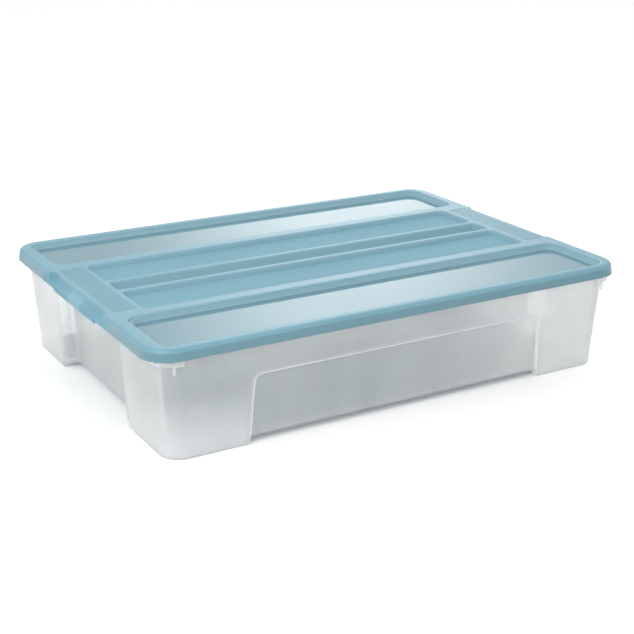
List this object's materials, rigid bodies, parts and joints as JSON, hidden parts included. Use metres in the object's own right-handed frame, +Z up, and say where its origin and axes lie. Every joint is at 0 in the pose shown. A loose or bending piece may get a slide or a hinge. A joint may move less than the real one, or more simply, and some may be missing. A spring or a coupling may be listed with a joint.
{
  "type": "under bed box",
  "caption": "Low clear plastic storage box on corner feet, with a lift-off ribbed lid, for sliding under a bed.",
  "frame": {"origin": "on the floor, at the middle of the box", "axes": "+X along the box's length, +Y across it, +Z up"},
  "size_m": [0.8, 0.568, 0.167],
  "materials": {
    "tub_plastic": "clear, faintly frosted",
    "lid_plastic": "satin, slightly translucent blue"
  },
  "bodies": {
    "tub": {"tub": "tub_plastic"},
    "lid": {"lid": "lid_plastic"}
  },
  "joints": [
    {"name": "lid_lift", "type": "slide", "parent": "tub", "child": "lid", "axis": [0, 0, 1], "range_m": [0, 0.2]}
  ]
}
